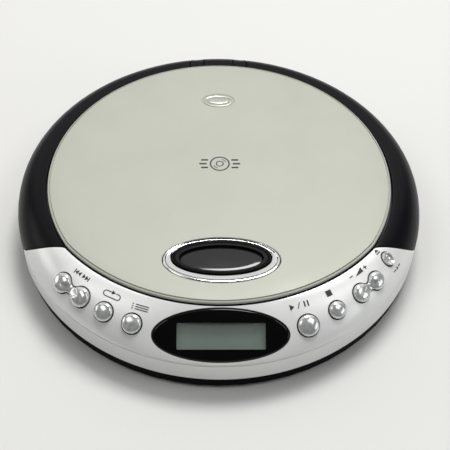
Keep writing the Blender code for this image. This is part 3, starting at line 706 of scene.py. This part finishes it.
def make_keys():
    for name, (bearing, slope, radius) in KEYS.items():
        place = skin_frame(bearing, slope)
        loops = [raised(circle(radius), place, -2.8), raised(circle(radius), place, 0.2)]
        for share, rise in CAP[1:-1]:
            height = SHOULDER + (CROWN - SHOULDER) * rise
            loops.append(raised(circle(radius * share), place, height))
        key = rings(name + "_cap", loops, key_chrome, cap_last=False)
        fan(key, place @ Vector((0, 0, CROWN)))
        done(key, name, "chrome", name, angle=50)
    for name, (bearing, slope, arm, radius) in ROCKERS.items():
        place = skin_frame(bearing, slope)
        line, spine = dumbbell(arm, radius, ROCKER_WAIST)
        loops = [raised(line, place, -2.6), raised(line, place, 0.2)]
        for share, rise in CAP[1:]:
            loop = []
            for (x, y), (sx, sy) in zip(line, spine):
                lift = (abs(sx) / arm) ** 1.6
                crown = ROCKER_DIP + (CROWN - ROCKER_DIP) * lift
                height = SHOULDER + (crown - SHOULDER) * rise
                point = (sx + (x - sx) * share, sy + (y - sy) * share, height)
                loop.append(place @ Vector(point))
            loops.append(loop)
        key = rings(name + "_cap", loops, key_chrome, cap_last=False)
        done(key, name, "chrome", name, angle=50)


def make_gap_shades(surface):
    """Black tubes in the gap round each key, painted shade that darkens the gap."""
    ways = {}
    for name, (bearing, slope, radius) in KEYS.items():
        ways[name] = (skin_frame(bearing, slope), key_outline(radius), ROUND_CLEARANCE)
    for name, (bearing, slope, arm, radius) in ROCKERS.items():
        ways[name] = (skin_frame(bearing, slope), rocker_outline(arm, radius), ROCKER_CLEARANCE)
    bearing, slope, radius = OPEN_KEY
    shape = key_outline(radius - OPEN_TRIM, OPEN_STRETCH)
    ways["open_button"] = (skin_frame(bearing, slope), shape, ROUND_CLEARANCE)
    outer = KEY_GAP + GAP_SHADE_OVERLAP
    for name, (place, shape, inner) in ways.items():
        loops = [
            raised(shape(outer), place, -2.3),
            draped(shape(outer), place, surface, -0.12),
            draped(shape(inner), place, surface, -0.2),
            raised(shape(inner), place, -2.3),
        ]
        # The black tube is painted shade in the key's gap, not a part of the player
        gap_shade = tube(name + "_sleeve", loops, inner_black)
        done(gap_shade, "case", "black_plastic")


def fan(piece, tip):
    """Closes the open end of a piece on one point."""
    shape = bmesh.new()
    shape.from_mesh(piece.data)
    bmesh.ops.remove_doubles(shape, verts=shape.verts, dist=WELD * MM)
    edges = [e for e in shape.edges if e.is_boundary]
    centre = shape.verts.new(Vector(tip) * MM)
    for edge in edges:
        shape.faces.new((edge.verts[0], edge.verts[1], centre))
    bmesh.ops.recalc_face_normals(shape, faces=shape.faces)
    shape.to_mesh(piece.data)
    shape.free()


# Outline of the open key's hollow: share of its radius, height over its mean level
SCOOP = ((1.0, 0.12), (0.985, 0.3), (0.93, 0.42), (0.86, 0.36), (0.74, 0.12), (0.6, -0.12),
         (0.42, -0.28), (0.22, -0.36))


def make_open_key():
    """A scooped oval key, higher at its lower lip."""
    bearing, slope, radius = OPEN_KEY
    radius -= OPEN_TRIM
    level, bottom = 0.25, -0.13
    place = skin_frame(bearing, slope)
    loops = [raised(circle(radius, OPEN_STRETCH), place, -2.4)]
    for share, rise in SCOOP:
        loop = []
        for x, y in circle(radius * share, OPEN_STRETCH):
            lean = 0.35 * (-y / (radius * OPEN_STRETCH) * 0.5 - x / radius * 0.3)
            loop.append(place @ Vector((x, y, level + rise + lean)))
        loops.append(loop)
    key = rings("open_key_cap", loops, key_chrome, cap_last=False)
    fan(key, place @ Vector((0, 0, bottom)))
    done(key, "open_button", "silver_plastic", "open_button", angle=50)


def make_display(surface):
    place = display_frame()
    oval = (0, 0, *DISPLAY_HALF)
    loops = [raised(ellipse(oval, -0.6), place, -2.2), draped(ellipse(oval), place, surface, -1.3)]
    for grow, height in ((0.0, -0.42), (-0.12, -0.16), (-0.42, 0.06), (-0.8, 0.1)):
        loops.append(draped(ellipse(oval, grow), place, surface, height))
    for share in (0.93, 0.86, 0.78, 0.7, 0.6, 0.5, 0.4, 0.3, 0.2, 0.1):
        loop = [(x * share, y * share) for x, y in ellipse(oval, -0.8)]
        loops.append(draped(loop, place, surface, 0.1))
    cover = rings("display_cover", loops, gloss_black, cap_last=False)
    tip = draped([(0, 0)], place, surface, 0.1)[0]
    fan(cover, tip)
    way = rounded_box(LCD_VIEW, 0.4)
    cut(cover, rings("lcd_way", [raised(way, place, z) for z in (6, -6)], None))
    done(cover, "case", "smoked_lens", "display_lens")
    middle_x, middle_y, half_x, half_y = LCD_VIEW
    outer = rounded_box((middle_x, middle_y, half_x - 0.03, half_y - 0.03), 0.4)
    loops = [draped(outer, place, surface, -0.75), draped(outer, place, surface, -0.02)]
    for share in (0.75, 0.5, 0.25):
        loop = []
        for x, y in outer:
            loop.append((middle_x + (x - middle_x) * share, middle_y + (y - middle_y) * share))
        loops.append(draped(loop, place, surface, 0.05))
    pane = rings("display_pane", loops, pane_clear)
    done(pane, "case", "smoked_lens")


def emblem_loops(profile):
    """The emblem's oval grown by each distance of a profile, at each height over the lid."""
    return [flat(ellipse(EMBLEM, grow, EMBLEM_STEPS), LID_TOP + z) for grow, z in profile]


def lid_loop(inset, height):
    """The lid's outline drawn in by a distance, at one height."""
    loop = []
    for bearing in range(0, 360, 2):
        turned = bearing if bearing <= 180 else bearing - 360
        radius = min(LID_RADIUS - inset, arc_edge(turned, LID_ARC_RADIUS - inset))
        loop.append(point_at(turned, radius, height))
    return loop


def make_lid():
    profile = (
        (1.6, LID_BOTTOM), (0.25, LID_BOTTOM), (0.0, LID_BOTTOM + 0.25), (0.0, 27.05), (0.07, 27.22),
        (0.2, 27.33), (0.55, 27.42), (0.60, 27.0), (0.86, 27.0), (0.90, 27.45), (0.97, LID_TOP - 0.04),
        (1.15, LID_TOP),
    )
    loops = [lid_loop(inset, height) for inset, height in profile]
    for inset in (6, 12, 20, 28, 36, 44, 52):
        loops.append(lid_loop(inset, LID_TOP))
    cover = rings("lid_shell", loops, silver)
    flare = ((0.4, 30), (0.4, LID_TOP), (0.25, LID_TOP - 0.15), (0.25, 20))
    window_way = rings("window_way", [flat(ellipse(WINDOW, grow), z) for grow, z in flare], None)
    dish = ((0.25, 30 - LID_TOP), (0.25, 0), (-0.1, -0.28))
    cut(cover, window_way, rings("emblem_way", emblem_loops(dish), None))
    done(cover, "lid", "silver_plastic", "lid_cover")


def mixed(first, second, share):
    """An oval part of the way from one oval to another."""
    return tuple(a + (b - a) * share for a, b in zip(first, second))


def make_window():
    profile = (
        (0.0, 26.2), (0.0, 27.12), (0.015, 27.3), (0.05, 27.48), (0.10, 27.58), (0.16, 27.62),
        (0.22, 27.59), (0.28, 27.5), (0.33, 27.36), (0.37, 27.22), (0.42, 27.16), (0.50, 27.17),
        (0.60, 27.14), (0.74, 27.02), (0.86, 26.86), (0.95, 26.7), (1.0, 26.55), (1.0, 26.2),
    )
    loops = []
    for share, z in profile:
        loops.append(flat(ellipse(mixed(WINDOW, WINDOW_INNER, share), 0.0, OVAL_STEPS), z))
    bezel = tube("window_rim", loops, chrome)
    done(bezel, "lid", "chrome", "window_bezel", angle=60)

    profile = (
        (0.12, 26.4), (0.12, 27.04), (0.2, 27.1), (0.3, 27.08), (0.86, 26.6), (0.98, 26.42),
        (1.0, 26.3), (1.0, 26.25), (0.5, 26.25),
    )
    loops = []
    for share, z in profile:
        shape = mixed(WINDOW_INNER, WINDOW_GLASS, share)
        grow = -0.25 if share < 0.5 else 0.0
        loops.append(flat(ellipse(shape, grow, OVAL_STEPS), z))
    ring = tube("window_frame_ring", loops, inner_black)
    done(ring, "lid", "black_plastic", angle=60)

    loops = []
    for grow, z in ((0.0, 25.1), (0.0, 25.85), (-0.12, 26.05), (-0.45, 26.14)):
        loops.append(flat(ellipse(WINDOW_GLASS, grow, OVAL_STEPS), z))
    x, y, half_x, half_y = WINDOW_GLASS
    for share in (0.8, 0.6, 0.4, 0.2):
        shape = (x, y, (half_x - 0.45) * share, (half_y - 0.45) * share)
        loops.append(flat(ellipse(shape, 0.0, OVAL_STEPS), 26.14 + 0.06 * (1 - share)))
    lens = rings("window_pane", loops, window_smoke)
    done(lens, "lid", "smoked_lens", "window_lens", angle=60)


def cut_up(line):
    """An outline with points added along its long sides."""
    longest = 0.7
    fine = []
    for (ax, ay), (bx, by) in zip(line, line[1:] + line[:1]):
        count = max(math.ceil(math.hypot(bx - ax, by - ay) / longest), 1)
        fine += [(ax + (bx - ax) * i / count, ay + (by - ay) * i / count) for i in range(count)]
    return fine


def flat_print(name, outlines, body, place=None, surface=None, base=0.0, rise=0.07):
    """Printed marks: each outline a thin plate laid on a surface, or flat at a base height."""
    parts_points, parts_faces = [], []
    for line in outlines:
        if surface:
            line = cut_up(line)
        count = len(line)
        if surface:
            top = draped(line, place, surface, rise)
            low = draped(line, place, surface, -0.04)
        else:
            top = flat(line, base + rise)
            low = flat(line, base - 0.05)
        first = len(parts_points)
        parts_points += top + low
        parts_faces.append(tuple(first + i for i in range(count)))
        parts_faces.append(tuple(first + count + i for i in range(count - 1, -1, -1)))
        for i in range(count):
            j = (i + 1) % count
            parts_faces.append((first + i, first + count + i, first + count + j, first + j))
    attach(mesh_object(name, parts_points, parts_faces, print_dark), body)


def bar(x0, y0, x1, y1):
    return [(x0, y0), (x1, y0), (x1, y1), (x0, y1)]


def moved(line, x, y):
    return [(px + x, py + y) for px, py in line]


def band(radius, width, start, end, steps=24, centre=(0, 0)):
    """A strip of a ring, cut in short quads so that it can follow a curved surface."""
    quads = []
    for i in range(steps):
        a = math.radians(start + (end - start) * i / steps)
        b = math.radians(start + (end - start) * (i + 1) / steps)
        inner, outer = radius - width / 2, radius + width / 2
        quads.append(
            [
                (centre[0] + outer * math.cos(a), centre[1] + outer * math.sin(a)),
                (centre[0] + outer * math.cos(b), centre[1] + outer * math.sin(b)),
                (centre[0] + inner * math.cos(b), centre[1] + inner * math.sin(b)),
                (centre[0] + inner * math.cos(a), centre[1] + inner * math.sin(a)),
            ]
        )
    return quads


def arrowhead(x, size, way):
    """A triangle pointing along X, its back edge at x."""
    line = [(x, -size), (x + way * size * 1.4, 0), (x, size)]
    return line if way > 0 else line[::-1]


def marks():
    """The generic sign by each key: bearing, radius from the axis and outlines."""
    tall = 0.85
    skip = [bar(-3.3, -tall, -2.95, tall), bar(2.95, -tall, 3.3, tall)]
    skip += [arrowhead(x, tall, -1) for x in (-1.75, -0.45)]
    skip += [arrowhead(x, tall, 1) for x in (0.45, 1.75)]
    repeat = band(0.95, 0.34, 90, 270, 10, (-2.2, 0)) + band(0.95, 0.34, -90, 90, 10, (2.2, 0))
    repeat += [bar(-2.2, -1.12, 2.2, -0.78), bar(-2.2, 0.78, -0.3, 1.12), bar(1.3, 0.78, 2.2, 1.12)]
    repeat += [[(-0.3, 0.2), (1.1, 0.95), (-0.3, 1.7)]]
    program = []
    for low in (-0.92, -0.15, 0.62):
        program += [bar(-2.9, low, -2.4, low + 0.34), bar(-1.7, low, 2.9, low + 0.34)]
    play = [arrowhead(-3.5, 1.1, 1), [(-1.0, -1.0), (-0.65, -1.0), (0.35, 1.0), (0.0, 1.0)]]
    play += [bar(1.5, -1.0, 2.0, 1.0), bar(2.7, -1.0, 3.2, 1.0)]
    volume = [bar(-4.0, -0.2, -2.6, 0.2), bar(2.7, -0.2, 4.1, 0.2), bar(3.2, 0.2, 3.6, 0.7)]
    volume += [bar(3.2, -0.7, 3.6, -0.2), [(-1.8, -0.9), (1.9, -0.9), (1.9, 0.95)]]
    eject = [[(-1.0, -0.1), (1.0, -0.1), (0.0, 1.1)], bar(-1.0, -0.85, 1.0, -0.45)]
    lift = [bar(-2.2, -0.2, -0.9, 0.2), bar(0.9, -0.2, 2.2, 0.2)]
    lift += [[(-0.6, -0.45), (0.6, -0.45), (0, 0.65)]]
    return {
        "skip": (-45.6, 66.0, skip),
        "repeat": (-33.9, 65.4, repeat),
        "program": (-24.4, 64.9, program),
        "play": (24.3, 64.1, play),
        "stop": (34.2, 64.9, [bar(-1.05, -1.05, 1.05, 1.05)]),
        "volume": (46.3, 65.2, volume),
        "eject": (56.4, 65.6, eject),
        "lift": (57.7, 73.5, lift),
    }


def slope_at(bearing, radius):
    """The place down the slope where the skin has a radius, found by halving."""
    low, high = 0.0, 1.0
    for _ in range(30):
        middle = (low + high) / 2
        if skin(bearing, middle)[0] < radius:
            low = middle
        else:
            high = middle
    return low


def make_prints(surface):
    for name, (bearing, radius, outlines) in marks().items():
        place = skin_frame(bearing, slope_at(bearing, radius))
        flat_print("print_" + name, outlines, "case", place, surface)
    disc = []
    x, y = DISC_MARK
    bands = (
        (3.5, 0.55, 0, 360, 60),
        (1.3, 0.4, 0, 360, 36),
        (2.4, 0.3, 20, 70, 12),
        (2.4, 0.3, 200, 250, 12),
    )
    for radius, width, start, end, steps in bands:
        disc += [moved(q, x, y) for q in band(radius, width, start, end, steps)]
    for side in (-1, 1):
        for k in (-1, 0, 1):
            near = 4.9 if k == 0 else 4.4
            ends = sorted((x + side * near, x + side * (7.7 - 0.7 * abs(k))))
            disc.append(bar(ends[0], y + 2.0 * k - 0.4, ends[1], y + 2.0 * k + 0.4))
    flat_print("print_disc", disc, "lid", base=LID_TOP, rise=0.02)


def make_emblem():
    """A plain raised oval ring round a domed boss, near the lid's hinge."""
    profile = ((-0.5, -0.35), (-0.55, -0.05), (-0.7, 0.05), (-1.1, 0.06), (-1.4, -0.05), (-1.5, -0.35))
    loops = emblem_loops(profile)
    ring = tube("lid_emblem_ring", loops, emblem_silver)
    done(ring, "lid", "silver_plastic", angle=40)
    profile = ((-2.1, -0.35), (-2.15, -0.1), (-2.4, 0.0), (-2.9, 0.05), (-3.4, 0.07), (-3.8, 0.075))
    loops = emblem_loops(profile)
    boss = rings("lid_emblem_boss", loops, emblem_silver)
    done(boss, "lid", "silver_plastic", angle=60)


def smooth_modifier():
    """A node group that welds a mesh and shades it smooth except over sharp edges."""
    group = bpy.data.node_groups.new("shade_by_angle", "GeometryNodeTree")
    group.interface.new_socket("Geometry", in_out="INPUT", socket_type="NodeSocketGeometry")
    group.interface.new_socket("Geometry", in_out="OUTPUT", socket_type="NodeSocketGeometry")
    source = group.nodes.new("NodeGroupInput")
    target = group.nodes.new("NodeGroupOutput")
    weld = group.nodes.new("GeometryNodeMergeByDistance")
    weld.inputs["Distance"].default_value = WELD * MM
    soft = group.nodes.new("GeometryNodeSetShadeSmooth")
    hard = group.nodes.new("GeometryNodeSetShadeSmooth")
    hard.domain = "EDGE"
    hard.inputs["Shade Smooth"].default_value = False
    angle = group.nodes.new("GeometryNodeInputMeshEdgeAngle")
    sharp = group.nodes.new("FunctionNodeCompare")
    sharp.inputs[1].default_value = math.radians(35)
    link(
        group,
        (source.outputs[0], weld.inputs["Geometry"]),
        (weld.outputs["Geometry"], soft.inputs["Geometry"]),
        (soft.outputs["Geometry"], hard.inputs["Geometry"]),
        (angle.outputs["Unsigned Angle"], sharp.inputs[0]),
        (sharp.outputs["Result"], hard.inputs["Selection"]),
        (hard.outputs["Geometry"], target.inputs[0]),
    )
    return group


LOOK_OF_SLOT = {
    "black_plastic": base_black,
    "silver_plastic": silver,
    "dark_plastic": dark_plastic,
    "chrome": chrome,
    "smoked_lens": lens_blue,
    "display_glass": lcd_green,
    "rubber": rubber,
    "steel": steel,
    "white_plastic": acetal,
    "brass": brass,
    "circuit_board": board_green,
}


def finish_cad_nodes():
    group = smooth_modifier()
    slots = {p["node"]: p["material_slot"] for p in frame["record"]["subparts"]}
    for name, node in frame["nodes"].items():
        node.data.materials.clear()
        look = grip_black if name == "lid_liner" else LOOK_OF_SLOT[slots[name]]
        node.data.materials.append(look)
        if not node.hide_render:
            change = node.modifiers.new("shade", "NODES")
            change.node_group = group


def softbox(name, place, size, power, colour=(1, 1, 1)):
    """An area light aimed at the origin."""
    light = bpy.data.lights.new(name, "AREA")
    light.shape = "RECTANGLE"
    light.size, light.size_y = size
    light.energy = power
    light.color = colour
    lamp = bpy.data.objects.new(name, light)
    bpy.context.scene.collection.objects.link(lamp)
    lamp.location = place
    aim = Vector((0, 0, 0)) - Vector(place)
    lamp.rotation_euler = aim.to_track_quat("-Z", "Y").to_euler()


def make_stage():
    look = grain_material(
        "floor_paper", (0.75, 0.748, 0.733), 0.7, mottle=0.006, fine=400.0, bump=0.02,
        rough_spread=0.03, coarse=4.0, Specular_IOR_Level=0.2,
    )
    mesh = bpy.data.meshes.new("floor")
    corners = [(x * FLOOR_REACH, y * FLOOR_REACH, 0) for x, y in ((-1, -1), (1, -1), (1, 1), (-1, 1))]
    mesh.from_pydata(corners, [], [(0, 1, 2, 3)])
    mesh.materials.append(look)
    floor = bpy.data.objects.new("floor", mesh)
    bpy.context.scene.collection.objects.link(floor)

    world = bpy.data.worlds.new("studio")
    bpy.context.scene.world = world
    world.use_nodes = True
    sky = world.node_tree.nodes["Background"]
    sky.inputs["Color"].default_value = WORLD_COLOUR
    sky.inputs["Strength"].default_value = WORLD_STRENGTH

    softbox("back_card", (0, 1.05, 1.15), (3.2, 1.9), 14.0, (1, 0.995, 0.985))
    softbox("key_light", (0.13, 0.335, 0.94), (0.36, 0.32), 6.2, (1, 0.995, 0.98))
    softbox("left_top_card", (-0.62, -0.25, 0.98), (0.5, 0.4), 1.9)
    softbox("right_top_card", (0.66, -0.25, 0.95), (0.5, 0.4), 1.9)
    softbox("front_strip", (-0.1, -1.2, 0.22), (1.8, 0.25), 0.12)
    softbox("left_card", (-1.2, 0.2, 0.4), (0.7, 0.4), 1.8, (1, 0.99, 0.97))
    softbox("right_card", (1.1, -0.4, 0.4), (0.6, 0.4), 1.6, (0.95, 0.97, 1))


def make_camera():
    data = bpy.data.cameras.new("photo_camera")
    data.lens = CAMERA_LENS
    data.sensor_width = CAMERA_SENSOR
    data.clip_start = 0.01
    data.clip_end = 20
    camera = bpy.data.objects.new("photo_camera", data)
    bpy.context.scene.collection.objects.link(camera)
    turned = Matrix((Vector(CAMERA_RIGHT), Vector(CAMERA_UP), -Vector(CAMERA_FORWARD)))
    place = turned.transposed().to_4x4()
    place.translation = Vector(CAMERA_PLACE) * MM
    camera.matrix_world = place
    bpy.context.scene.camera = camera


make_camera()
make_stage()
skin_surface = make_fascia()
make_grips()
make_keys()
make_gap_shades(skin_surface)
make_open_key()
make_display(skin_surface)
make_lid()
make_window()
make_emblem()
make_prints(skin_surface)
finish_cad_nodes()
bpy.context.scene.view_settings.view_transform = "Standard"
